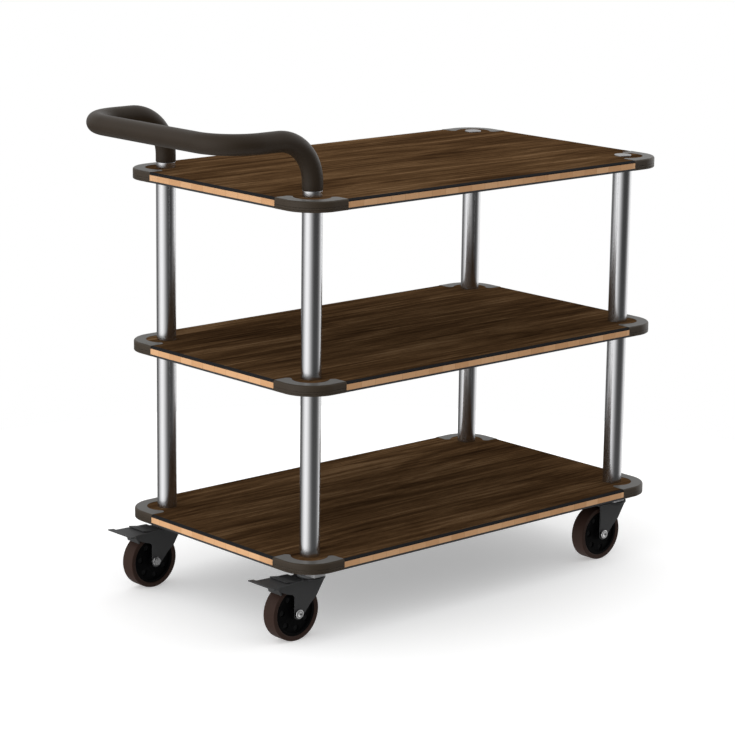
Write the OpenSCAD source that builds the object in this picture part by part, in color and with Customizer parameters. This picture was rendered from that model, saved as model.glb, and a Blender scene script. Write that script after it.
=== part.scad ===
// Food service trolley: three laminated shelves on four steel posts, a looped
// push handle at the rear and four swivel casters, the rear pair with brakes.
// +X points to the front, away from the handle, +Y to the left, +Z up.
// The origin is on the floor, under the middle of the whole trolley.

/* [Shelves] */
// Length of a shelf
shelf_l = 866; // [640:1:1200]
// Width of a shelf
shelf_w = 510; // [400:1:700]
// Radius of the shelf corners
corner_r = 58; // [40:1:80]
// Distance from the edges of a shelf to the axis of a post
post_inset = 58; // [50:1:80]
// Clear height between two shelves
shelf_gap = 290.5; // [200:0.5:400]
// Thickness of the light wooden core
core_t = 10; // [8:0.5:18]
// Thickness of the dark laminate on top
top_laminate_t = 4.5; // [3:0.1:6]
// Thickness of the dark laminate underneath
bottom_laminate_t = 3.5; // [2:0.1:6]
// Width of the bevel along the top edges
bevel_w = 4.5; // [1:0.1:6]
// Height of the bevel along the top edges
bevel_h = 2.5; // [1:0.1:2.9]

/* [Corner guards] */
// Thickness of the outer wall of a guard
guard_wall = 5; // [3.5:0.1:8]
// Length of a guard's straight leg, past its round corner
guard_leg = 29; // [15:1:40]
// Rounding of the guard's upper outer edge
guard_top_r = 3.4; // [1:0.1:3.5]
// Rounding of the guard's lower outer edge
guard_bottom_r = 1.6; // [0.5:0.1:3]
// How far a guard reaches below its shelf
guard_drop = 0.6; // [0:0.1:3]
// How far a guard's lip stands above its shelf
guard_proud = 0.3; // [0:0.1:2]
// Radius of the open bay in the lip around the post
bay_r = 32; // [22:0.5:40]
// Offset of the bay from the post towards the corner, in X and in Y
bay_shift = 3; // [0:0.5:6]
// Distance from the post axis to the inner side of the lip's end
lobe_start = 26; // [18:0.5:36]
// Corner radius of the lip's ends
lobe_r = 8; // [2:0.5:12]
// Depth of the decorative grooves in the outer wall
groove_depth = 0.8; // [0.2:0.1:1.5]
// Height of the decorative grooves
groove_h = 1; // [0.4:0.1:1.5]

/* [Posts] */
// Outer diameter of the post tubes
post_d = 35; // [28:0.5:45]
// Wall of the post tubes
post_wall = 1.5; // [1:0.1:3]
// Length of the threaded plugs in the tube ends
plug_l = 22; // [12:1:40]
// Diameter of the studs and bolts that join the posts
stud_d = 10; // [8:0.5:12]
// How far a stud reaches into a plug
stud_reach = 18; // [10:1:30]
// Diameter of the caps on the front posts
cap_d = 31; // [24:0.5:45]
// Thickness of the caps on the front posts
cap_t = 2; // [1:0.1:6]

/* [Handle] */
// Distance from the rear posts back to the grip
handle_reach = 184.5; // [150:0.5:260]
// Height of the grip's axis above the top shelf
handle_rise = 97; // [95:0.5:160]
// Radius of the bends from the posts to the rear
rise_bend_r = 74; // [50:0.5:76]
// Radius of the bends from the arms to the grip
grip_bend_r = 72; // [50:0.5:90]
// Outer diameter of the handle's steel tube
handle_d = 28; // [20:0.5:30]
// Wall of the handle's steel tube
handle_wall = 2; // [1:0.1:3]
// Outer diameter of the foam sleeve
sleeve_d = 35.5; // [31:0.5:45]
// Height of the bare socket between the shelf and the sleeve
socket_h = 10; // [6:0.5:20]

/* [Casters] */
// Diameter of the wheels
wheel_d = 100; // [80:1:125]
// Width of the tyres
tyre_w = 28; // [22:0.5:34]
// Diameter of the wheel centres, under the tyres
centre_d = 82.5; // [66:0.5:90]
// Distance of the wheel axle behind the swivel axis
trail = 40.8; // [34:0.1:49]
// Diameter of the axle bolts
axle_d = 8; // [6:0.5:10]
// Thickness of the fork's steel
fork_t = 2.5; // [2:0.1:3.5]
// Room between the tyre and each side of the fork
wheel_side_gap = 2.5; // [2:0.1:6]
// Room between the tyre and the top plate of the fork
wheel_top_gap = 2.5; // [2:0.1:8]
// Radius of the round fork crown
crown_r = 27.5; // [25:0.5:32]
// Height of the mounting block between caster and shelf
block_h = 17; // [12:0.5:30]
// Size of the mounting block along X
block_l = 25; // [20:0.5:40]
// Size of the mounting block along Y
block_w = 48; // [30:0.5:50]
// Offset of the mounting block towards the middle of the trolley
block_shift = 3.2; // [0:0.1:5]

/* [Brakes] */
// Distance from the fork's legs back to the pivot of the pedal
ear_l = 32.2; // [28:0.1:40]
// Distance from the pivot back to the end of the pedal
pedal_reach = 27.5; // [22:0.5:40]
// Width of the pedal's tread bar
pedal_w = 68; // [50:0.5:80]
// Thickness of the pedal's steel
pedal_t = 2.2; // [1.5:0.1:3]
// Travel of the pedal from free to braked, in degrees
brake_travel = 10; // [6:1:14]

/* [Hidden] */
$fn = 72;
fit = 0.05;          // play of a pin in its bore, on the radius
gap = 0.3;           // play between pieces that move past each other
play = 1;            // room round a part that hangs free in a hollow
cut = 1;             // how far a cutting shape runs past what it cuts
join = 0.3;          // how far two halves of one piece run into each other

level_names = ["bottom", "middle", "top"];
corner_names = ["rear_right", "rear_left", "front_right", "front_left"];
corner_signs = [[-1, -1], [-1, 1], [1, -1], [1, 1]];
post_names = ["lower", "upper"];
braked = [0, 1];     // the corners whose casters have a brake

groove_places = [0.17, 0.38];                         // heights of the grooves, as parts of a guard's

axle_z = wheel_d / 2;
fork_in = tyre_w / 2 + wheel_side_gap;                // from the middle to the fork's inner face
fork_w = 2 * (fork_in + fork_t);
crown_t = 3;
crown_z = wheel_d + wheel_top_gap + crown_t;          // the fork's top face above the floor

shelf_t = top_laminate_t + core_t + bottom_laminate_t;
level_pitch = shelf_gap + shelf_t;
block_z = crown_z + play;
shelf_z0 = block_z + block_h;                        // underside of the bottom shelf
function surface_z(level) = shelf_z0 + shelf_t + level * level_pitch;

overhang = handle_reach + sleeve_d / 2 - post_inset;  // how far the grip passes the shelves
shelf_cx = overhang / 2;
post_dx = shelf_l / 2 - post_inset;
post_dy = shelf_w / 2 - post_inset;
function post_x(corner) = shelf_cx + corner_signs[corner][0] * post_dx;
function post_y(corner) = corner_signs[corner][1] * post_dy;

arc_dx = shelf_l / 2 - corner_r;
arc_dy = shelf_w / 2 - corner_r;
arc_to_post = corner_r - post_inset;                  // from the corner's centre out to the post

bore_d = post_d - 2 * post_wall;
hole_d = stud_d + 1;
spigot_l = handle_rise - rise_bend_r - socket_h;      // the straight stretch above a socket

dish_r = crown_r - 5;
floor_z = crown_z - crown_t - fork_t + join;          // underside of the dish in the crown
leg_end_r = 9;
leg_end = [2 - trail, axle_z - 2.5];                  // centre of the leg's round end
leg_back = leg_end[0] - leg_end_r;
leg_knee = [0.4, crown_z - 31.3];
leg_mid = [-13.3, crown_z - 43];
race_r = dish_r - play;
head_r = 9;
head_h = 6;
hub_r = 11;
hub_half = fork_in - gap;
web_half = 10.5;                                      // half the thickness of the wheel's disc
rim_wall = 5;
pockets = 7;                                          // blind pockets on each face of a wheel
pocket_r = 5.5;
pocket_deep = 4;
pocket_orbit = (hub_r + centre_d / 2 - rim_wall) / 2 + 4.5;
pocket_turn = 122;                                    // angle of the first pocket
axle_head_r = 8;
axle_head_h = 5.5;
dimple_r = 4.5;
dimple_deep = 1.5;

ear_r = 5;                                            // round end of a braked fork's ear
pivot = [leg_back - ear_l, crown_z - ear_r];          // pivot of the brake pedal
pin_d = 6;
fillet_r = 8;
fillet_at = [leg_back - fillet_r, crown_z - 28];      // fillet between the ear and the leg
ear_dip = [leg_back - 18.7, crown_z - 16.5];          // where the ear's lower edge bends
pedal_z = crown_z + 0.5;                              // underside of the pedal
pedal_front = 31;
pedal_front_w = 44;
pedal_rear_w = 55;
pedal_end = pivot[0] - pedal_reach;
tread_bar_l = 10.5;
tread_bar_rise = 1.5;
tab_w = 44;
tab_l = 20;
tab_edge = pivot[0] + 10.3;
lug_t = 3;
lug_out = fork_in - gap;                              // outer face of the pedal's lugs
nose_r = 1.6;
nose_lag = 17;                                        // how far the nose trails the wheel's direction
to_wheel = [-trail, axle_z] - pivot;
nose_dir = atan2(to_wheel[1], to_wheel[0]) - nose_lag;
nose_reach = norm(to_wheel) * cos(nose_lag - brake_travel)
    - sqrt(pow(wheel_d / 2 + nose_r + gap, 2) - pow(norm(to_wheel) * sin(nose_lag - brake_travel), 2));
nose = pivot + nose_reach * [cos(nose_dir), sin(nose_dir)];

// ---- placing ----

// Puts its children at a post, with +X and +Y pointing out of the shelf
module at_post(corner) {
    s = corner_signs[corner];
    translate([post_x(corner), post_y(corner), 0])
        mirror([s[0] < 0 ? 1 : 0, 0, 0])
            mirror([0, s[1] < 0 ? 1 : 0, 0]) children();
}

// Puts its children at a caster, which trails to the rear at every corner.
// The left casters are the right ones mirrored, so bolt heads face outwards.
module at_caster(corner) {
    translate([post_x(corner), post_y(corner), 0])
        mirror([0, corner_signs[corner][1] > 0 ? 1 : 0, 0]) children();
}

// Extrudes an outline drawn in X and Z along Y, from y0 to y1
module along_y(y0, y1) {
    translate([0, y1, 0]) rotate([90, 0, 0]) linear_extrude(y1 - y0) children();
}

// A round bar along Y
module rod_y(at, d, y0, y1) {
    translate([at[0], y0, at[1]]) rotate([-90, 0, 0]) cylinder(d = d, h = y1 - y0);
}

// ---- shelves ----

module shelf_outline() {
    square([shelf_l, shelf_w - 2 * corner_r], center = true);
    square([shelf_l - 2 * corner_r, shelf_w], center = true);
    for (s = corner_signs) translate([s[0] * arc_dx, s[1] * arc_dy]) circle(corner_r);
}

// The part of a shelf that a guard reaches round, drawn from the corner's centre
module corner_zone(r, leg) {
    intersection() {
        union() {
            circle(r);
            translate([-leg, -leg]) square([leg, leg + r]);
            translate([-leg, -leg]) square([leg + r, leg]);
        }
        translate([-leg, -leg]) square(leg + r);
    }
}

// The strip along a guard's outer wall
module wall_zone() {
    difference() {
        corner_zone(corner_r, guard_leg);
        corner_zone(corner_r - guard_wall, guard_leg + cut);
    }
}

// One end of the lip: a strip with a round inner corner
module lobe_strip() {
    start = arc_to_post + lobe_start;
    translate([start + lobe_r, -guard_leg]) square([corner_r, corner_r + guard_leg]);
    translate([start, lobe_r - guard_leg]) square([corner_r, corner_r + guard_leg]);
    translate([start + lobe_r, lobe_r - guard_leg]) circle(lobe_r);
}

// The lip of a guard, seen from above
module lip_zone() {
    difference() {
        intersection() {
            corner_zone(corner_r, guard_leg);
            union() {
                lobe_strip();
                mirror([1, -1]) lobe_strip();
            }
        }
        translate([1, 1] * (arc_to_post + bay_shift)) circle(bay_r);
    }
}

// Puts 2D or 3D children at all four rounded corners
module at_arcs() {
    for (s = corner_signs)
        translate([s[0] * arc_dx, s[1] * arc_dy])
            mirror([s[0] < 0 ? 1 : 0, 0]) mirror([0, s[1] < 0 ? 1 : 0]) children();
}

module stud_holes() {
    for (s = corner_signs) translate([s[0] * post_dx, s[1] * post_dy]) circle(d = hole_d);
}

// One layer of a shelf, cut away where the guards sit
module layer(z, t) {
    translate([shelf_cx, 0, z]) linear_extrude(t) difference() {
        shelf_outline();
        at_arcs() children();
        stud_holes();
    }
}

// A wedge along Y that bevels an edge whose top outer corner is the origin
module bevel_wedge(length) {
    slope = bevel_h / bevel_w;
    along_y(-length / 2, length / 2)
        polygon([[-bevel_w, 0], [-bevel_w, cut], [cut, cut], [cut, -bevel_h - slope * cut]]);
}

module shelf_core(level) {
    color("burlywood") layer(surface_z(level) - top_laminate_t - core_t, core_t) wall_zone();
}

module top_laminate(level) {
    color([0.30, 0.20, 0.14]) difference() {
        layer(surface_z(level) - top_laminate_t, top_laminate_t) lip_zone();
        translate([shelf_cx, 0, surface_z(level)]) {
            for (a = [0, 180]) rotate(a) translate([shelf_l / 2, 0, 0]) bevel_wedge(shelf_w);
            for (a = [90, 270]) rotate(a) translate([shelf_w / 2, 0, 0]) bevel_wedge(shelf_l);
        }
    }
}

module bottom_laminate(level) {
    color([0.13, 0.13, 0.14]) layer(surface_z(level) - shelf_t, bottom_laminate_t) lip_zone();
}

// ---- corner guards ----

guard_h = shelf_t + guard_drop + guard_proud;

// Section of the outer wall: X outwards from the corner's centre, Y up
module guard_section() {
    inner = corner_r - guard_wall;
    difference() {
        translate([inner, 0]) square([guard_wall, guard_h]);
        translate([corner_r - guard_top_r, guard_h - guard_top_r]) difference() {
            square(guard_top_r + cut);
            circle(guard_top_r);
        }
        translate([corner_r - guard_bottom_r, guard_bottom_r]) difference() {
            translate([0, -guard_bottom_r - cut]) square(guard_bottom_r + cut);
            circle(guard_bottom_r);
        }
        for (k = groove_places)
            translate([corner_r - groove_depth, k * guard_h]) square([groove_depth + cut, groove_h]);
    }
}

module guard_wall_solid() {
    rotate_extrude(angle = 90) guard_section();
    rotate([90, 0, 0]) linear_extrude(guard_leg) guard_section();
    rotate([90, 0, 90]) mirror([0, 0, 1]) linear_extrude(guard_leg) guard_section();
}

module flange(z, t) {
    translate([0, 0, z]) linear_extrude(t) difference() {
        lip_zone();
        difference() {
            corner_zone(corner_r + cut, guard_leg + cut);
            corner_zone(corner_r - guard_wall + join, guard_leg + 2 * cut);
        }
    }
}

module corner_guard(level, corner) {
    s = corner_signs[corner];
    color([0.20, 0.16, 0.13])
        translate([shelf_cx + s[0] * arc_dx, s[1] * arc_dy, surface_z(level) - shelf_t - guard_drop])
            mirror([s[0] < 0 ? 1 : 0, 0, 0]) mirror([0, s[1] < 0 ? 1 : 0, 0]) {
                guard_wall_solid();
                flange(0, bottom_laminate_t + guard_drop);
                flange(guard_h - top_laminate_t - guard_proud, top_laminate_t + guard_proud);
            }
}

// ---- posts ----

module post_tube(post, corner) {
    color("silver") at_post(corner) translate([0, 0, surface_z(post)]) difference() {
        cylinder(d = post_d, h = shelf_gap);
        translate([0, 0, -cut]) cylinder(d = bore_d, h = shelf_gap + 2 * cut);
    }
}

module plug() {
    difference() {
        cylinder(d = bore_d - 2 * fit, h = plug_l);
        translate([0, 0, -cut]) cylinder(d = stud_d + 2 * fit, h = plug_l + 2 * cut);
    }
}

module tube_plugs() {
    color("gray") for (corner = [0:3]) for (post = [0:1]) at_post(corner) {
        translate([0, 0, surface_z(post)]) plug();
        translate([0, 0, surface_z(post) + shelf_gap - plug_l]) plug();
    }
}

module stud(level) {
    translate([0, 0, surface_z(level) - shelf_t - stud_reach])
        cylinder(d = stud_d, h = shelf_t + 2 * stud_reach);
}

module shelf_studs() {
    color("gray") {
        for (corner = [0:3]) at_post(corner) stud(1);
        for (corner = braked) at_post(corner) stud(2);
    }
}

module post_cap(corner) {
    edge = cap_t / 2;
    color("silver") at_post(corner) translate([0, 0, surface_z(2)]) {
        rotate_extrude() {
            square([cap_d / 2 - edge, cap_t]);
            square([cap_d / 2, edge]);
            translate([cap_d / 2 - edge, edge]) circle(edge);
        }
        translate([0, 0, -shelf_t - stud_reach]) cylinder(d = stud_d, h = shelf_t + stud_reach + edge);
    }
}

// ---- handle ----

// The whole handle as a round bar, from z0 above the top shelf at each rear post
module handle_bar(d, z0) {
    rise_l = handle_rise - rise_bend_r - z0;
    arm_l = handle_reach - rise_bend_r - grip_bend_r;
    grip_l = 2 * (post_dy - grip_bend_r);
    translate([post_x(0), 0, surface_z(2)]) {
        for (side = [0, 1]) mirror([0, side, 0]) translate([0, -post_dy, 0]) {
            translate([0, 0, z0]) cylinder(d = d, h = rise_l);
            translate([-rise_bend_r, 0, handle_rise - rise_bend_r]) rotate([90, 0, 0])
                rotate_extrude(angle = 90) translate([rise_bend_r, 0]) circle(d = d);
            translate([-rise_bend_r - arm_l, 0, handle_rise]) rotate([0, 90, 0])
                cylinder(d = d, h = arm_l);
            translate([-rise_bend_r - arm_l, grip_bend_r, handle_rise]) rotate(180)
                rotate_extrude(angle = 90) translate([grip_bend_r, 0]) circle(d = d);
        }
        rod_y([-handle_reach, handle_rise], d, -grip_l / 2, grip_l / 2);
    }
}

module handle_tube() {
    color("silver") difference() {
        handle_bar(handle_d, socket_h);
        handle_bar(handle_d - 2 * handle_wall, socket_h - cut);
    }
}

module handle_sleeve() {
    color([0.23, 0.19, 0.16]) difference() {
        handle_bar(sleeve_d, socket_h);
        handle_bar(handle_d + 2 * fit, socket_h - cut);
    }
}

module handle_sockets() {
    spigot_d = handle_d - 2 * handle_wall - 2 * fit;
    color("silver") for (corner = braked) at_post(corner) translate([0, 0, surface_z(2)]) difference() {
        union() {
            cylinder(d = post_d - 1, h = socket_h);
            cylinder(d = spigot_d, h = socket_h + spigot_l);
        }
        translate([0, 0, -cut]) cylinder(d = stud_d + 2 * fit, h = stud_reach + 2 * cut);
    }
}

// ---- caster mounting ----

module caster_blocks() {
    color("silver") for (corner = [0:3]) at_post(corner) translate([0, 0, block_z]) difference() {
        translate([-block_shift - block_l / 2, -block_w / 2, 0]) cube([block_l, block_w, block_h]);
        translate([0, 0, -cut]) cylinder(d = stud_d + 2 * fit, h = block_h + 2 * cut);
    }
}

module swivel_races() {
    race_z = floor_z + fork_t + gap;
    color("gray") for (corner = [0:3]) at_post(corner) translate([0, 0, race_z]) difference() {
        cylinder(r = race_r, h = block_z - race_z);
        translate([0, 0, -cut]) cylinder(d = stud_d + 2 * fit, h = block_z - race_z + 2 * cut);
    }
}

module king_bolts() {
    head_z = floor_z - gap - head_h;
    color("gray") for (corner = [0:3]) at_post(corner) {
        translate([0, 0, head_z]) cylinder(r = head_r, h = head_h);
        translate([0, 0, head_z]) cylinder(d = stud_d, h = surface_z(0) + stud_reach - head_z);
    }
}

// ---- casters, drawn with the swivel axis on Z and the floor at zero ----

// Side plate of a fork, drawn in X and Z
module fork_side(has_brake) {
    translate(leg_end) circle(leg_end_r);
    polygon([
        [leg_back, leg_end[1]],
        [leg_back, crown_z],
        [crown_r - 7, crown_z],
        leg_knee,
        leg_mid,
        leg_end + leg_end_r * [cos(35), -sin(35)],
        leg_end
    ]);
    if (has_brake) ear();
}

// Where the line from a point p touches a circle; turn picks one of its two tangents
function touching(centre, r, p, turn) =
    let (d = p - centre, a = atan2(d[1], d[0]) + turn * acos(r / norm(d)))
    centre + r * [cos(a), sin(a)];

// The ear that carries the pedal's pivot, at the rear of a side plate
module ear() {
    translate(pivot) circle(ear_r);
    difference() {
        polygon([
            [leg_back + fork_t, crown_z],
            pivot + [0, ear_r],
            pivot,
            touching(pivot, ear_r, ear_dip, -1),
            ear_dip,
            touching(fillet_at, fillet_r, ear_dip, -1),
            fillet_at,
            [leg_back, fillet_at[1]],
            [leg_back + fork_t, fillet_at[1]]
        ]);
        translate(fillet_at) circle(fillet_r);
    }
}

module crown(has_brake) {
    top_l = has_brake ? crown_r : -leg_back;
    difference() {
        union() {
            translate([0, 0, crown_z - crown_t]) cylinder(r = crown_r, h = crown_t);
            translate([-top_l, -fork_w / 2, crown_z - crown_t]) cube([top_l, fork_w, crown_t]);
        }
        translate([0, 0, crown_z - crown_t - cut]) cylinder(r = dish_r, h = crown_t + 2 * cut);
    }
    translate([0, 0, floor_z]) cylinder(r = dish_r + 2, h = fork_t);
}

module fork(corner) {
    has_brake = corner_signs[corner][0] < 0;
    color([0.16, 0.16, 0.17]) at_caster(corner) difference() {
        union() {
            crown(has_brake);
            along_y(fork_in, fork_w / 2) fork_side(has_brake);
            along_y(-fork_w / 2, -fork_in) fork_side(has_brake);
        }
        translate([0, 0, floor_z + fork_t]) cylinder(r = dish_r, h = crown_t + cut);
        translate([0, 0, floor_z - cut]) cylinder(d = stud_d + 2 * fit, h = fork_t + 2 * cut);
        rod_y([-trail, axle_z], axle_d + 2 * fit, -fork_w, fork_w);
        if (has_brake) rod_y(pivot, pin_d + 2 * fit, -fork_w, fork_w);
    }
}

module wheel_centre(corner) {
    rim_half = tyre_w / 2 - 1;
    color([0.08, 0.08, 0.09]) at_caster(corner) translate([-trail, 0, axle_z]) rotate([90, 0, 0])
        difference() {
            rotate_extrude() {
                translate([0, -hub_half]) square([hub_r, 2 * hub_half]);
                translate([0, -web_half]) square([centre_d / 2 - 1, 2 * web_half]);
                translate([centre_d / 2 - rim_wall, -rim_half]) square([rim_wall, 2 * rim_half]);
            }
            translate([0, 0, -hub_half - cut])
                cylinder(d = axle_d + 2 * fit, h = 2 * (hub_half + cut));
            for (side = [0, 1]) mirror([0, 0, side])
                for (k = [0:pockets - 1]) rotate(pocket_turn + k * 360 / pockets)
                    translate([pocket_orbit, 0, web_half - pocket_deep])
                        cylinder(r = pocket_r, h = pocket_deep + cut);
        }
}

module tyre(corner) {
    edge = 3;
    half = tyre_w / 2;
    color([0.26, 0.18, 0.16]) at_caster(corner) translate([-trail, 0, axle_z]) rotate([90, 0, 0])
        rotate_extrude() difference() {
            union() {
                translate([centre_d / 2, -half]) square([(wheel_d - centre_d) / 2 - edge, tyre_w]);
                translate([centre_d / 2, edge - half])
                    square([(wheel_d - centre_d) / 2, tyre_w - 2 * edge]);
                for (side = [-1, 1]) translate([wheel_d / 2 - edge, side * (half - edge)]) circle(edge);
            }
        }
}

module axle_bolt(corner) {
    face = fork_w / 2;
    nut_h = 6;
    edge = 1.5;
    dimple_ball = (dimple_r * dimple_r / dimple_deep + dimple_deep) / 2;
    color("silver") at_caster(corner) {
        rod_y([-trail, axle_z], axle_d, -face, face + nut_h + 1);
        translate([-trail, -face, axle_z]) rotate([90, 0, 0]) rotate_extrude() difference() {
            union() {
                square([axle_head_r, axle_head_h - edge]);
                square([axle_head_r - edge, axle_head_h]);
                translate([axle_head_r - edge, axle_head_h - edge]) circle(edge);
            }
            translate([0, axle_head_h - dimple_deep + dimple_ball]) circle(dimple_ball);
        }
    }
    color("silver") at_caster(corner) translate([-trail, face, axle_z]) rotate([-90, 0, 0]) difference() {
        union() {
            cylinder(r = axle_head_r, h = 1.6);
            cylinder(r = 7, h = nut_h, $fn = 6);
        }
        translate([0, 0, -cut]) cylinder(d = axle_d + 2 * fit, h = nut_h + 2 * cut);
    }
}

// ---- brakes ----

// The pedal's flat top, seen from above
module pedal_top() {
    bar_start = pedal_end + tread_bar_l;
    polygon([
        [-pedal_front, -pedal_front_w / 2],
        [bar_start, -pedal_rear_w / 2],
        [bar_start, pedal_rear_w / 2],
        [-pedal_front, pedal_front_w / 2]
    ]);
}

// Lug that hangs round the pin, with the nose that brakes the tyre, in X and Z
module lug() {
    translate(pivot) circle(ear_r);
    translate([pivot[0] - ear_r, pivot[1]]) square([2 * ear_r, pedal_z + join - pivot[1]]);
    nose_arm();
}

module nose_arm() {
    side = nose_r * [-sin(nose_dir), cos(nose_dir)];
    translate(nose) circle(nose_r);
    polygon([pivot - side, nose - side, nose + side, pivot + side]);
}

module brake_pedal(corner) {
    bar_start = pedal_end + tread_bar_l;
    color([0.18, 0.18, 0.19]) at_caster(corner) difference() {
        union() {
            translate([0, 0, pedal_z]) linear_extrude(pedal_t) pedal_top();
            along_y(-pedal_w / 2, pedal_w / 2) polygon([
                [bar_start + 2, pedal_z],
                [bar_start + 2, pedal_z + pedal_t],
                [pedal_end, pedal_z + pedal_t + tread_bar_rise],
                [pedal_end, pedal_z + tread_bar_rise]
            ]);
            along_y(-tab_w / 2, tab_w / 2) polygon([
                [tab_edge + tab_l, pedal_z + pedal_t - join],
                [tab_edge + tab_l, pedal_z + pedal_t + join],
                [tab_edge, pedal_z + 5.8],
                [tab_edge, pedal_z + 4]
            ]);
            for (side = [0, 1]) mirror([0, side, 0]) along_y(lug_out - lug_t, lug_out) lug();
            along_y(-lug_out, lug_out) difference() {
                nose_arm();
                translate(pivot) circle(ear_r);
            }
        }
        rod_y(pivot, pin_d + 2 * fit, -fork_w, fork_w);
    }
}

module pedal_pin(corner) {
    color([0.18, 0.18, 0.19]) at_caster(corner) rod_y(pivot, pin_d, -fork_w / 2, fork_w / 2);
}

// ---- drawing ----

for (level = [0:2]) {
    n = level_names[level];
    shelf_core(level);
    top_laminate(level);
    bottom_laminate(level);
    for (c = [0:3])
        corner_guard(level, c);
}
for (post = [0:1]) for (c = [0:3])
    post_tube(post, c);
tube_plugs();
shelf_studs();
king_bolts();
post_cap(2);  // post_cap_front_right
post_cap(3);  // post_cap_front_left
handle_tube();
handle_sleeve();
handle_sockets();
caster_blocks();
swivel_races();
for (c = [0:3]) {
    n = corner_names[c];
    fork(c);
    wheel_centre(c);
    tyre(c);
    axle_bolt(c);
}
for (c = braked) {
    n = corner_names[c];
    brake_pedal(c);
    pedal_pin(c);
}
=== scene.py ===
# %% [markdown]
# # A food service trolley
# The trolley stands on four casters: three laminated shelves, four steel posts, a looped
# handle with a foam sleeve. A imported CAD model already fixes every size, joint and place.
# This lesson gives that model its looks. Flat sheets keep their CAD mesh and only get a
# finish. Round pieces are turned again as fine lathe work, and pressed or moulded pieces
# get the soft edges that a press tool or a mould leaves.

# %% Load the frame
import math

import bmesh
import bpy
from mathutils import Matrix, Vector


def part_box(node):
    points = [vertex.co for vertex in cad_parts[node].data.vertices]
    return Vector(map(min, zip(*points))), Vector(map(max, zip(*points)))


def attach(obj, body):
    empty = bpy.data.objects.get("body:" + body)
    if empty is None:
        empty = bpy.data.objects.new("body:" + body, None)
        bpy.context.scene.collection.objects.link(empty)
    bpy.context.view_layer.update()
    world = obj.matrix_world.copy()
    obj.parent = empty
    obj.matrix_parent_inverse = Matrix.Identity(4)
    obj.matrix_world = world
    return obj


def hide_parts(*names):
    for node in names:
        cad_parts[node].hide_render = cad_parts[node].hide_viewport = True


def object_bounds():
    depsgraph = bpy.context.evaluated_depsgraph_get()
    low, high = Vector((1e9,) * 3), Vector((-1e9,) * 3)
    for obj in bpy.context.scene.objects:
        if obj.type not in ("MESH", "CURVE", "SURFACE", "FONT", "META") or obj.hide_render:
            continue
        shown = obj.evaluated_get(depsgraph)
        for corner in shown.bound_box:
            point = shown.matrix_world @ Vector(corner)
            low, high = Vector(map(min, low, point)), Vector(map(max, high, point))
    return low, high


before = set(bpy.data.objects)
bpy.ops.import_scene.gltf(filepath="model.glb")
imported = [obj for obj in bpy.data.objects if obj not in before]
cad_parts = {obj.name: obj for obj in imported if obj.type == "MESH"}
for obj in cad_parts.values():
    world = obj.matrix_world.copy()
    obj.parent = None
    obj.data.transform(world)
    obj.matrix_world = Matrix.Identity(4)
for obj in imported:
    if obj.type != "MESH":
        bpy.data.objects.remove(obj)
cad_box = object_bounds()

# %% [markdown]
# ## Names that repeat
# Every node name ends in the corner that it belongs to, as seen by the person who pushes.
# Loops over these lists dress all the copies of a piece with the same few lines.

# %% Corners and levels
CORNERS = ["rear_right", "rear_left", "front_right", "front_left"]
BRAKED = ["rear_right", "rear_left"]
LEVELS = ["bottom", "middle", "top"]
MM = 0.001

def middle(node):
    """The middle of a CAD node's box."""
    low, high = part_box(node)
    return (low + high) / 2

def extent(node):
    """The size of a CAD node's box along X, Y and Z."""
    low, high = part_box(node)
    return high - low

print("post diameter:", round(extent("post_tube_lower_rear_right").x / MM, 1), "mm")

# %% [markdown]
# ## Shader maths as plain sums
# A procedural finish is mostly arithmetic on masks. This class wraps one socket, so that
# `1 - mask * 0.4` adds the two Math nodes that the sum needs and returns the result.

# %% A socket that can be used in sums
class Signal:
    def __init__(self, finish, socket):
        self.finish = finish
        self.socket = socket

    def maths(self, operation, first, second):
        return self.finish.node("Math", {"operation": operation}, {0: first, 1: second})

    def __add__(self, other):
        return self.maths("ADD", self, other)

    def __sub__(self, other):
        return self.maths("SUBTRACT", self, other)

    def __rsub__(self, other):
        return self.maths("SUBTRACT", other, self)

    def __mul__(self, other):
        return self.maths("MULTIPLY", self, other)

    def __truediv__(self, other):
        return self.maths("DIVIDE", self, other)

    def __gt__(self, other):
        return self.maths("GREATER_THAN", self, other)

    def __lt__(self, other):
        return self.maths("LESS_THAN", self, other)

    __radd__ = __add__
    __rmul__ = __mul__

# %% [markdown]
# ## One recipe book for all finishes
# A finish is a material with a Principled shader. `node` adds any node from its type, its
# settings and its inputs, so each finish below reads as a short recipe. Numbers that are
# the same all over a surface go straight onto the shader; only what varies is wired.

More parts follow.
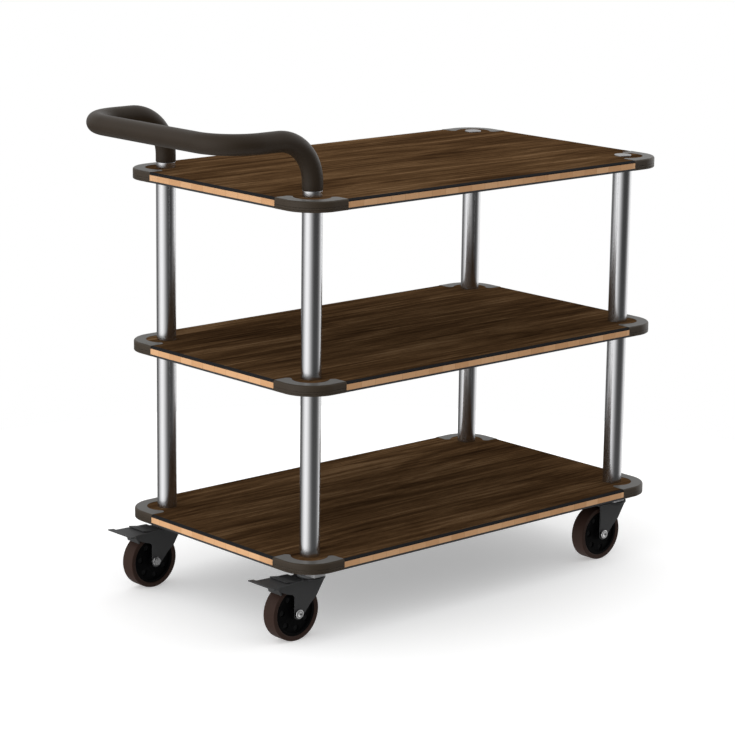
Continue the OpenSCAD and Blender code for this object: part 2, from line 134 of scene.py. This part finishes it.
# %% The finish class
class Finish:
    def __init__(self, name, constants):
        plain = bpy.data.materials.get(name)
        if plain:
            plain.name = "plain_" + name
        self.material = bpy.data.materials.new(name)
        self.material.use_nodes = True
        self.tree = self.material.node_tree
        self.shader = self.tree.nodes["Principled BSDF"]
        for socket, value in constants.items():
            self.shader.inputs[socket].default_value = value

    def node(self, kind, settings=None, inputs=None, output=0):
        made = self.tree.nodes.new("ShaderNode" + kind)
        for key, value in (settings or {}).items():
            if key == "stops":
                self.set_stops(made.color_ramp, value)
            else:
                setattr(made, key, value)
        for key, value in (inputs or {}).items():
            self.feed(made.inputs[key], value)
        return Signal(self, made.outputs[output])

    def set_stops(self, ramp, stops):
        for place, colour in stops[1:-1]:
            ramp.elements.new(place)
        for element, (place, colour) in zip(ramp.elements, stops):
            element.position = place
            element.color = (*colour, 1)

    def feed(self, socket, value):
        if isinstance(value, Signal):
            self.tree.links.new(value.socket, socket)
        else:
            socket.default_value = value

    def surface(self, **inputs):
        for name, value in inputs.items():
            self.feed(self.shader.inputs[name.replace("_", " ")], value)
        return self.material

    def place(self):
        """Where a point is, in metres, on the piece at rest."""
        return self.node("TexCoord", output="Object")

    def noise(self, stretch, detail=3.0, roughness=0.5, distortion=0.0):
        """Noise whose grains are 1 / stretch metres long along X, Y and Z."""
        scaled = self.node("Mapping", {}, {"Vector": self.place(), "Scale": stretch})
        shape = {"Vector": scaled, "Scale": 1.0, "Detail": detail}
        return self.node("TexNoise", {}, {**shape, "Roughness": roughness, "Distortion": distortion})

    def ramp(self, value, stops):
        return self.node("ValToRGB", {"stops": stops}, {"Fac": value})

    def blend(self, mask, first, second, mode="MIX"):
        """Colour that goes from first to second as the mask goes from 0 to 1."""
        settings = {"data_type": "RGBA", "blend_type": mode}
        return self.node("Mix", settings, {0: mask, 6: first, 7: second}, output=2)

    def bump(self, height, depth, strength=1.0):
        """A normal that follows a height, which is depth metres deep."""
        return self.node("Bump", {}, {"Height": height, "Distance": depth, "Strength": strength})

    def ranged(self, value, low, high):
        """A value of about 0 to 1, spread from low to high."""
        return value * (high - low) + low

    def grey(self, value):
        return self.node("CombineColor", {}, {0: value, 1: value, 2: value})

print("finish recipes ready")

# %% [markdown]
# ## Walnut decor on dark laminate
# The shelves are high-pressure laminate: a printed walnut sheet on a black core. The print
# shows on the flat top only, and the bevelled edge shows the black core. One material does
# both, because the direction that a face looks in tells which is which. The figure is three
# noises stretched along the shelf: broad flames, fine streaks and short dark pores.

# %% Laminates
def walnut_laminate():
    finish = Finish("walnut_laminate", {"Specular IOR Level": 0.0})
    flames = finish.noise((2.4, 19.0, 9.0), detail=5.0, roughness=0.6, distortion=0.8)
    streaks = finish.noise((4.0, 120.0, 40.0), detail=6.0, roughness=0.7, distortion=0.3)
    pores = finish.noise((50.0, 1200.0, 300.0), detail=2.0)
    wood = finish.ramp(flames * 0.5 + streaks * 0.5, [
        (0.37, (0.027, 0.0135, 0.0060)),
        (0.46, (0.065, 0.0335, 0.0145)),
        (0.54, (0.110, 0.0600, 0.0270)),
        (0.63, (0.190, 0.1120, 0.0560)),
    ])
    dashes = pores < 0.40
    grained = finish.blend(dashes * 0.5, wood, (0.020, 0.0095, 0.0045, 1))
    facing = finish.node("SeparateXYZ", {}, {0: finish.node("NewGeometry", output="Normal")}, output=2)
    flat_top = facing > 0.98
    speckle = finish.noise((700.0, 700.0, 700.0), detail=1.0)
    edge = finish.blend(speckle, (0.014, 0.014, 0.015, 1), (0.030, 0.030, 0.031, 1))
    height = streaks - dashes * 0.5 + (1 - flat_top) * speckle
    return finish.surface(
        Base_Color=finish.blend(flat_top, edge, grained),
        Roughness=finish.ranged(streaks, 0.52, 0.70) - (1 - flat_top) * 0.12,
        Normal=finish.bump(height, 0.00012, 0.5),
    )

def dark_laminate():
    finish = Finish("dark_laminate", {"Specular IOR Level": 0.4})
    speckle = finish.noise((650.0, 650.0, 650.0), detail=2.0)
    return finish.surface(
        Base_Color=finish.blend(speckle, (0.012, 0.012, 0.013, 1), (0.028, 0.028, 0.029, 1)),
        Roughness=finish.ranged(speckle, 0.42, 0.60),
        Normal=finish.bump(speckle, 0.0001, 0.4),
    )

WALNUT = walnut_laminate()
DARK_LAMINATE = dark_laminate()
print("laminates:", WALNUT.name, DARK_LAMINATE.name)

# %% [markdown]
# ## The wooden core
# Between the laminates lies a board of light blocks glued side by side. Its sawn edge shows
# one block after another, each with a slightly different tone and a thin glue line, and the
# fine specks of cut fibres. Edges run along X or Y, so the sum of both coordinates counts
# the blocks along either.

# %% Core
BLOCK_L = 0.031

def block_core():
    finish = Finish("light_wood_core", {"Specular IOR Level": 0.25})
    spot = finish.node("SeparateXYZ", {}, {0: finish.place()})
    along_y = Signal(finish, spot.socket.node.outputs[1])
    count = (spot + along_y) / BLOCK_L + 100.0
    block = finish.node("Math", {"operation": "FLOOR"}, {0: count})
    within = count - block
    tone = finish.node("TexWhiteNoise", {"noise_dimensions": "1D"}, {"W": block})
    fibres = finish.noise((420.0, 420.0, 90.0), detail=4.0, roughness=0.6)
    layers = finish.noise((12.0, 12.0, 520.0), detail=3.0)
    mixed = tone * 0.5 + fibres * 0.3 + layers * 0.2
    wood = finish.ramp(mixed, [
        (0.20, (0.580, 0.305, 0.140)),
        (0.50, (0.690, 0.385, 0.190)),
        (0.82, (0.760, 0.455, 0.245)),
    ])
    glue = within < 0.035
    return finish.surface(
        Base_Color=finish.blend(glue * 0.35, wood, (0.34, 0.18, 0.085, 1)),
        Roughness=finish.ranged(fibres, 0.60, 0.82),
        Normal=finish.bump(fibres - glue, 0.00015, 0.6),
    )

CORE = block_core()
print("core:", CORE.name)

# %% [markdown]
# ## Plastics, foam and rubber
# These differ in colour, in how far they scatter light and in the grain of their mould. A
# fine noise makes the grain, a slow one the uneven gloss of handled plastic.

# %% Moulded finishes
def moulded(name, dark, light, gloss, grain, depth, specular=0.5, lip=None):
    """A lip colour, if given, covers what faces straight up: a painted sheen, the pale reflection that those
    faces catch.
    """
    finish = Finish(name, {"Specular IOR Level": specular})
    fine = finish.noise((grain, grain, grain), detail=2.0, roughness=0.6)
    broad = finish.noise((14.0, 14.0, 14.0), detail=3.0)
    colour = finish.blend(fine * 0.6 + broad * 0.4, (*dark, 1), (*light, 1))
    if lip:
        # painted sheen: faces that look straight up take the pale lip colour, mottled by the fine noise
        upwards = finish.node("SeparateXYZ", {}, {0: finish.node("NewGeometry", output="Normal")}, output=2)
        colour = finish.blend((upwards > 0.97) * finish.ranged(fine, 0.6, 1.1), colour, (*lip, 1))
    return finish.surface(
        Base_Color=colour,
        Roughness=finish.ranged(fine * 0.5 + broad * 0.5, *gloss),
        Normal=finish.bump(fine, depth, 0.6),
    )

# the guards' lip colour is a painted sheen on their upward faces
GUARD = moulded("guard_plastic", (0.032, 0.0235, 0.0160), (0.064, 0.0480, 0.0335), (0.34, 0.46), 1400.0, 0.00006,
                0.15, lip=(0.115, 0.111, 0.104))
FOAM = moulded("grip_foam", (0.021, 0.0145, 0.0094), (0.044, 0.0315, 0.0210), (0.34, 0.48), 1100.0, 0.00018, 0.14)
TYRE = moulded("brown_tyre", (0.024, 0.0118, 0.0084), (0.046, 0.0242, 0.0178), (0.50, 0.64), 900.0, 0.00008, 0.12)
PLUG = moulded("plug_plastic", (0.010, 0.010, 0.010), (0.022, 0.022, 0.022), (0.5, 0.65), 1000.0, 0.00005)
print("moulded finishes:", GUARD.name, FOAM.name, TYRE.name, PLUG.name)

# %% Wheel centres, black, with a painted highlight on the pocket floors
def wheel_plastic():
    finish = Finish("wheel_plastic", {"Specular IOR Level": 0.04})
    fine = finish.noise((1200.0, 1200.0, 1200.0), detail=2.0)
    mottle = finish.noise((300.0, 300.0, 300.0), detail=4.0, roughness=0.7)
    across = finish.node("SeparateXYZ", {}, {0: finish.place()}, output=1)
    from_middle = finish.node("Math", {"operation": "ABSOLUTE"}, {0: across})
    depth = finish.node("Math", {"operation": "ABSOLUTE"}, {0: from_middle - WHEEL_Y})
    pocket = depth < POCKET_FLOOR
    black = finish.blend(fine, (0.0008, 0.0008, 0.0009, 1), (0.0022, 0.0022, 0.0024, 1))
    # painted highlight: the pocket floors are painted a lighter grey for the light they catch, mottled by noise
    painted_pocket_highlight = finish.blend(mottle, (0.006, 0.006, 0.006, 1), (0.040, 0.040, 0.041, 1))
    return finish.surface(
        Base_Color=finish.blend(pocket, black, painted_pocket_highlight),
        Roughness=finish.ranged(fine, 0.5, 0.65),
        Normal=finish.bump(fine, 0.00005, 0.5),
    )

WHEEL_Y = abs(middle("tyre_rear_right").y)
POCKET_FLOOR = 7.0 * MM
WHEEL = wheel_plastic()
print("wheel centres:", WHEEL.name)

# %% [markdown]
# ## Metals
# The post tubes are ground and left satin, which leaves hair-fine lines along them. The
# casters are powder coated: a matt black skin with a fine orange-peel surface. The mounting
# blocks are blasted, and the axle bolts are bright zinc.

# %% Metal finishes
def metal(name, colour, gloss, stretch, depth, contrast=0.12, metallic=1.0):
    finish = Finish(name, {"Metallic": metallic})
    lines = finish.noise(stretch, detail=3.0, roughness=0.65)
    clouds = finish.noise((9.0, 9.0, 5.0), detail=2.0)
    dull = tuple(channel * (1 - 2 * contrast) for channel in colour)
    return finish.surface(
        Base_Color=finish.blend(lines * 0.7 + clouds * 0.3, (*dull, 1), (*colour, 1)),
        Roughness=finish.ranged(lines * 0.5 + clouds * 0.5, *gloss),
        Normal=finish.bump(lines, depth, 0.5),
    )

def powder_coat():
    finish = Finish("black_fork", {"Specular IOR Level": 0.3})
    peel = finish.noise((1500.0, 1500.0, 1500.0), detail=2.0, roughness=0.7)
    mottle = finish.noise((60.0, 60.0, 60.0), detail=4.0)
    return finish.surface(
        Base_Color=finish.blend(peel * 0.6 + mottle * 0.4, (0.026, 0.026, 0.0265, 1), (0.056, 0.056, 0.057, 1)),
        Roughness=finish.ranged(mottle, 0.50, 0.66),
        Normal=finish.bump(peel, 0.00012, 0.8),
    )

STEEL = metal("satin_steel", (0.57, 0.57, 0.58), (0.17, 0.27), (1800.0, 1800.0, 22.0), 0.00003)
CAP = metal("cap_metal", (0.34, 0.34, 0.345), (0.30, 0.42), (900.0, 900.0, 900.0), 0.00003)
PLAIN_STEEL = metal("hidden_steel", (0.50, 0.50, 0.51), (0.30, 0.45), (500.0, 500.0, 500.0), 0.00004)
BLASTED = metal("block_metal", (0.72, 0.72, 0.73), (0.55, 0.70), (1500.0, 1500.0, 1500.0), 0.00008, metallic=0.1)
BRIGHT = metal("bright_steel", (0.62, 0.62, 0.62), (0.16, 0.28), (700.0, 700.0, 700.0), 0.00002, 0.05)
COAT = powder_coat()
print("metals:", STEEL.name, CAP.name, BLASTED.name, BRIGHT.name, COAT.name)

# %% [markdown]
# ## From points to pieces
# Four small tools make every new mesh. `keep` turns a bmesh into an object that rides on
# its CAD body and stands for its CAD node. `lathe` turns a profile round an axis, `sweep`
# draws a round section along a path, and `soften` rounds the hard edges of a CAD shape.

# %% Keeping a piece
SMOOTH_BELOW = math.radians(42)
made = []

def keep(name, shape, finish, body, *nodes):
    mesh = bpy.data.meshes.new(name)
    shape.normal_update()
    shape.to_mesh(mesh)
    shape.free()
    mesh.shade_smooth()
    mesh.set_sharp_from_angle(angle=SMOOTH_BELOW)
    mesh.materials.append(finish)
    piece = bpy.data.objects.new(name, mesh)
    bpy.context.scene.collection.objects.link(piece)
    even = piece.modifiers.new("even shading", "WEIGHTED_NORMAL")
    even.keep_sharp = True
    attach(piece, body)
    if nodes:
        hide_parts(*nodes)
    made.append(name)
    return piece

# %% [markdown]
# A turned piece is a list of (radius, height) points. Real turned edges are never sharp, so
# `rounded` first swaps each corner that has a third number for an arc of that radius.

# %% Turned profiles
ARC_STEPS = 5
TURN_STEPS = 72

def rounded(corners):
    """Points of a closed outline; a corner (x, y, r) becomes an arc of radius r."""
    points = []
    for index, corner in enumerate(corners):
        here = Vector(corner[:2])
        if len(corner) < 3:
            points.append(here)
            continue
        back = (Vector(corners[index - 1][:2]) - here).normalized()
        on = (Vector(corners[(index + 1) % len(corners)][:2]) - here).normalized()
        half = back.angle(on) / 2
        centre = here + (back + on).normalized() * (corner[2] / math.sin(half))
        start = here + back * (corner[2] / math.tan(half)) - centre
        turn = start.angle_signed(here + on * (corner[2] / math.tan(half)) - centre)
        for step in range(ARC_STEPS + 1):
            angle = -turn * step / ARC_STEPS
            arm = Matrix.Rotation(angle, 2) @ start
            points.append(centre + arm)
    return points

def lathe(shape, corners, place):
    """Turns a closed outline of (radius, height) round Z and puts it at a place."""
    rings = []
    for radius, height in rounded(corners):
        if radius < 1e-7:
            rings.append([shape.verts.new(place @ Vector((0, 0, height)))])
            continue
        ring = []
        for step in range(TURN_STEPS):
            angle = 2 * math.pi * step / TURN_STEPS
            arm = Vector((radius * math.cos(angle), radius * math.sin(angle), height))
            ring.append(shape.verts.new(place @ arm))
        rings.append(ring)
    for one, two in zip(rings, rings[1:] + rings[:1]):
        skin(shape, one, two)
    bmesh.ops.recalc_face_normals(shape, faces=shape.faces)

def skin(shape, one, two):
    """Faces between two rings, either of which may be a single point."""
    if len(one) == 1 and len(two) == 1:
        return
    count = max(len(one), len(two))
    for step in range(count):
        following = (step + 1) % count
        corners = [one[step % len(one)], one[following % len(one)]]
        corners += [two[following % len(two)], two[step % len(two)]]
        shape.faces.new(list(dict.fromkeys(corners)))

# %% [markdown]
# A CAD solid has knife edges, and a real press tool or mould leaves a small round there.
# `soften` copies the CAD shape, joins its triangles into clean faces and bevels every edge
# that turns more sharply than a curved wall does.

# %% Softened CAD shapes
def soften(node, finish, body, width, steps=2, sharper_than=28):
    shape = bmesh.new()
    shape.from_mesh(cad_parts[node].data)
    bmesh.ops.remove_doubles(shape, verts=shape.verts, dist=1e-6)
    flat = math.radians(0.4)
    bmesh.ops.dissolve_limit(shape, angle_limit=flat, verts=shape.verts, edges=shape.edges)
    limit = math.radians(sharper_than)
    hard = [e for e in shape.edges if len(e.link_faces) == 2 and e.calc_face_angle() > limit]
    bmesh.ops.bevel(shape, geom=hard, offset=width, segments=steps, profile=0.5,
                    affect="EDGES", clamp_overlap=True)
    return keep("soft_" + node, shape, finish, body, node)

def dress(node, finish):
    """Gives a CAD node a finish without touching its shape."""
    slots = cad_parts[node].material_slots
    for slot in slots:
        slot.material = finish
    return len(slots)

print("mesh tools ready")

# %% [markdown]
# ## Shelves
# Each shelf is a sandwich of three flat sheets. Their CAD shape is already right, down to
# the bevel along the top edge, so they only take their finishes.

# %% Dress the shelves
for level in LEVELS:
    dress("top_laminate_" + level, WALNUT)
    dress("shelf_core_" + level, CORE)
    dress("bottom_laminate_" + level, DARK_LAMINATE)
print("shelves dressed:", len(LEVELS))

# %% [markdown]
# ## Corner guards
# A moulded guard wraps each corner, with a crescent lip on the shelf. Moulded edges are
# soft, so the CAD shape is copied and its edges are rounded by half a millimetre.

# %% Soften the guards
for level in LEVELS:
    for corner in CORNERS:
        soften(f"corner_guard_{level}_{corner}", GUARD, "base", 0.35 * MM)
print("guards:", len(LEVELS) * len(CORNERS))

# %% [markdown]
# ## Posts, sockets and caps
# A post is a tube with a hair of chamfer at each end. It is turned from its profile, with
# its inner wall, because an open end shows on the parts that come apart. The cap is a flat
# button with a rounded rim.

# %% Turn the posts
def upright(node, base):
    centre = middle(node)
    return Matrix.Translation((centre.x, centre.y, base))

POST_WALL = 1.5 * MM
END_CHAMFER = 0.5 * MM

for level in ("lower", "upper"):
    for corner in CORNERS:
        node = f"post_tube_{level}_{corner}"
        low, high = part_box(node)
        outer = extent(node).x / 2
        inner = outer - POST_WALL
        tube = bmesh.new()
        lathe(tube, [
            (inner, 0), (outer, 0, END_CHAMFER),
            (outer, high.z - low.z, END_CHAMFER), (inner, high.z - low.z),
        ], upright(node, low.z))
        keep("turned_" + node, tube, STEEL, "base", node)
print("posts turned: 8")

# %% Turn the caps
for corner in ("front_right", "front_left"):
    node = "post_cap_" + corner
    low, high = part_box(node)
    rim = extent(node).x / 2
    top = high.z
    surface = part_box("top_laminate_top")[1].z
    stem = 5.0 * MM
    cap = bmesh.new()
    lathe(cap, [
        (0, low.z), (stem, low.z, 0.5 * MM), (stem, surface), (rim, surface),
        (rim, top, 0.9 * MM), (0, top),
    ], upright(node, 0))
    keep("turned_" + node, cap, CAP, "base", node)
print("caps turned: 2")

# %% [markdown]
# ## Hidden hardware
# Plugs, studs, king bolts, races and the tube inside the sleeve are seen only when the
# trolley is taken apart or looked at from below. Their CAD shape does, with a plain finish.

# %% Dress the hardware
for node, finish in {
    "tube_plugs": PLUG,
    "shelf_studs": PLAIN_STEEL,
    "king_bolts": PLAIN_STEEL,
    "handle_tube": PLAIN_STEEL,
    "swivel_races": PLAIN_STEEL,
}.items():
    dress(node, finish)
soften("handle_sockets", STEEL, "base", 0.5 * MM)
soften("caster_blocks", BLASTED, "base", 0.8 * MM, 3)
print("hardware dressed")

# %% [markdown]
# ## Handle sleeve
# A foam tube is pulled over the bent handle. It is a true sweep: a round section carried
# along straight runs and arcs, with its ends rolled in a little where the foam was cut.

# %% The centreline
RISE_BEND = 74 * MM
GRIP_BEND = 72 * MM
BEND_STEPS = 20
sleeve_low, sleeve_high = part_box("handle_sleeve")
SLEEVE_R = (sleeve_high.y - sleeve_low.y) / 2 - middle("post_tube_upper_rear_left").y
rear = middle("post_tube_upper_rear_right")
grip_x = sleeve_low.x + SLEEVE_R
grip_z = sleeve_high.z - SLEEVE_R

def arc(centre, first, last, steps):
    """Points on a quarter turn round a centre, from one arm to another."""
    turns = [math.pi / 2 * step / steps for step in range(steps + 1)]
    return [centre + first * math.cos(t) + last * math.sin(t) for t in turns]

def half_handle(side):
    """From a post up to the middle of the grip; side is -1 or 1 along Y."""
    y = abs(rear.y) * side
    path = [Vector((rear.x, y, sleeve_low.z))]
    bend = Vector((rear.x - RISE_BEND, y, grip_z - RISE_BEND))
    path += arc(bend, Vector((RISE_BEND, 0, 0)), Vector((0, 0, RISE_BEND)), BEND_STEPS)
    corner = Vector((grip_x + GRIP_BEND, y - side * GRIP_BEND, grip_z))
    path += arc(corner, Vector((0, side * GRIP_BEND, 0)), Vector((-GRIP_BEND, 0, 0)), BEND_STEPS)
    return path

handle_path = half_handle(-1) + half_handle(1)[::-1]
print("handle centreline:", len(handle_path), "points, sleeve radius", round(SLEEVE_R / MM, 2), "mm")

# %% Sweep the sleeve
SLEEVE_BORE = 14.05 * MM

def sweep(shape, path, radius, steps=48):
    """A ring of points round each point of a path, joined into a tube."""
    rings = []
    side = Vector((0, 1, 0))
    for index, point in enumerate(path):
        before = path[max(index - 1, 0)]
        after = path[min(index + 1, len(path) - 1)]
        ahead = (after - before).normalized()
        side = (side - ahead * side.dot(ahead)).normalized()
        over = ahead.cross(side)
        rings.append([
            shape.verts.new(point + (side * math.cos(a) + over * math.sin(a)) * radius(index))
            for a in (2 * math.pi * step / steps for step in range(steps))
        ])
    for one, two in zip(rings, rings[1:]):
        skin(shape, one, two)
    return rings

ROLL = 1.5 * MM

def sleeve_shape():
    shape = bmesh.new()
    path = handle_path
    start = [path[0] + Vector((0, 0, h)) for h in (0, 0.3 * ROLL, ROLL)]
    end = [path[-1] + Vector((0, 0, h)) for h in (ROLL, 0.3 * ROLL, 0)]
    full = start + path[1:-1] + end
    inset = {0: ROLL, 1: 0.3 * ROLL, len(full) - 2: 0.3 * ROLL, len(full) - 1: ROLL}
    outside = sweep(shape, full, lambda index: SLEEVE_R - inset.get(index, 0))
    inside = sweep(shape, full, lambda index: SLEEVE_BORE)
    skin(shape, outside[0], inside[0])
    skin(shape, outside[-1], inside[-1])
    bmesh.ops.recalc_face_normals(shape, faces=shape.faces)
    return shape

keep("foam_sleeve", sleeve_shape(), FOAM, "base", "handle_sleeve")
print("sleeve swept")

# %% [markdown]
# ## Casters
# The fork is pressed from sheet, so its edges are rounded by about a third of its thickness.
# The tyre is turned with a slightly crowned tread and a step on its flanks where the rubber
# meets the centre. The centre keeps its CAD pockets, with soft moulded edges.

# %% Forks, centres and pedals
for corner in CORNERS:
    soften("fork_" + corner, COAT, "fork_" + corner, 0.6 * MM, 3)
    soften("wheel_centre_" + corner, WHEEL, "wheel_" + corner, 0.6 * MM, 2)
for corner in BRAKED:
    soften("brake_pedal_" + corner, COAT, "pedal_" + corner, 0.5 * MM, 2, 20)
    dress("pedal_pin_" + corner, COAT)
print("forks and centres softened")

# %% Tyres
SHOULDER = 1.6 * MM
CROWN = 0.15 * MM

def wheel_place(node):
    """Lays a turned piece's axis along Y at a wheel's centre."""
    return Matrix.Translation(middle(node)) @ Matrix.Rotation(math.pi / 2, 4, "X")

for corner in CORNERS:
    node = "tyre_" + corner
    outer = extent(node).x / 2
    half = extent(node).y / 2
    inner = extent("wheel_centre_" + corner).x / 2
    lip = 1.2 * MM
    tyre = bmesh.new()
    lathe(tyre, [
        (inner, -half + lip), (inner + 1.5 * MM, -half, 0.6 * MM),
        (outer - CROWN, -half, SHOULDER), (outer, 0), (outer - CROWN, half, SHOULDER),
        (inner + 1.5 * MM, half, 0.6 * MM), (inner, half - lip),
    ], wheel_place(node))
    keep("turned_" + node, tyre, TYRE, "wheel_" + corner, node)
print("tyres turned: 4")

# %% Axle bolts
for corner in CORNERS:
    soften("axle_bolt_" + corner, BRIGHT, "fork_" + corner, 0.4 * MM, 3)
print("axle bolts softened")

# %% [markdown]
# ## Studio
# The trolley stands on a pale round floor. The light is a soft dome: bright from above and
# from behind the handle, dim on the right, so that the posts get a bright and a dark band.
# What the camera sees behind the floor is plain white.

# %% Floor
FLOOR_R = 1.3
FLOOR_GREY = 0.82

def pale_floor():
    """Pale, with a glow that grows outwards; only the camera sees it."""
    finish = Finish("pale_floor", {"Roughness": 0.9, "Specular IOR Level": 0.0, "Emission Strength": 1.0})
    out = finish.node("VectorMath", {"operation": "LENGTH"}, {0: finish.place()}, output="Value")
    spread = {0: out, 1: 0.20, 2: 0.75, 3: 0.32, 4: 0.42}
    glow = finish.node("MapRange", {"interpolation_type": "SMOOTHSTEP"}, spread)
    return finish.surface(
        Base_Color=(FLOOR_GREY, FLOOR_GREY, FLOOR_GREY, 1),
        Emission_Color=finish.grey(glow),
        Alpha=finish.node("LightPath", output="Is Camera Ray"),
    )

disc = bmesh.new()
bmesh.ops.create_circle(disc, cap_ends=True, segments=128, radius=FLOOR_R)
floor_mesh = bpy.data.meshes.new("floor")
disc.to_mesh(floor_mesh)
disc.free()
floor_mesh.materials.append(pale_floor())
floor = bpy.data.objects.new("floor", floor_mesh)
floor.location.z = cad_box[0].z
bpy.context.scene.collection.objects.link(floor)
print("floor radius:", FLOOR_R, "m")

# %% Light
class Sky(Finish):
    """The same recipe tools, on the world's node tree."""
    def __init__(self):
        self.material = bpy.data.worlds.new("studio")
        self.material.use_nodes = True
        self.tree = self.material.node_tree

def lobe(sky, direction, towards, sharpness):
    """1 where the light comes from, falling off smoothly round it."""
    aim = sky.node("VectorMath", {"operation": "DOT_PRODUCT"}, {0: direction, 1: towards}, output="Value")
    lit = sky.node("Math", {"operation": "MAXIMUM"}, {0: aim, 1: 0.0})
    return sky.node("Math", {"operation": "POWER"}, {0: lit, 1: sharpness})

sky = Sky()
direction = sky.node("TexCoord", output="Generated")
key = lobe(sky, direction, (-1.0, 0.05, 0.04), 3.0)
top = lobe(sky, direction, (0.18, 0.22, 0.96), 0.55)
front_light = lobe(sky, direction, (1.0, -0.06, 0.0), 6.0)
below = lobe(sky, direction, (0.0, 0.0, -1.0), 2.0)
glow = key * 1.85 + top * 0.95 + front_light * 1.5 + below * 0.8 + 0.05
seen = sky.node("LightPath", output="Is Camera Ray")
level = sky.node("Mix", {"data_type": "FLOAT"}, {0: seen, 2: glow, 3: 1.0})
background = sky.tree.nodes["Background"]
sky.feed(background.inputs["Strength"], level)
sky.feed(background.inputs["Color"], (1, 1, 1, 1))
bpy.context.scene.world = sky.material
bpy.context.scene.view_settings.view_transform = "Standard"
print("dome light ready")

# %% Camera
SENSOR = 36.0
yaw, pitch, roll = (math.radians(a) for a in (42.08, 12.94, 0.739))
camera_data = bpy.data.cameras.new("camera")
camera_data.sensor_width = SENSOR
camera_data.lens = 133.25
camera = bpy.data.objects.new("camera", camera_data)
camera.location = (-3.2077, -3.5551, 1.4896)
camera.rotation_euler = (
    Matrix.Rotation(-yaw, 3, "Z") @ Matrix.Rotation(math.pi / 2 - pitch, 3, "X") @ Matrix.Rotation(roll, 3, "Z")
).to_euler()
bpy.context.scene.collection.objects.link(camera)
bpy.context.scene.camera = camera
print("camera at", tuple(round(v, 3) for v in camera.location))
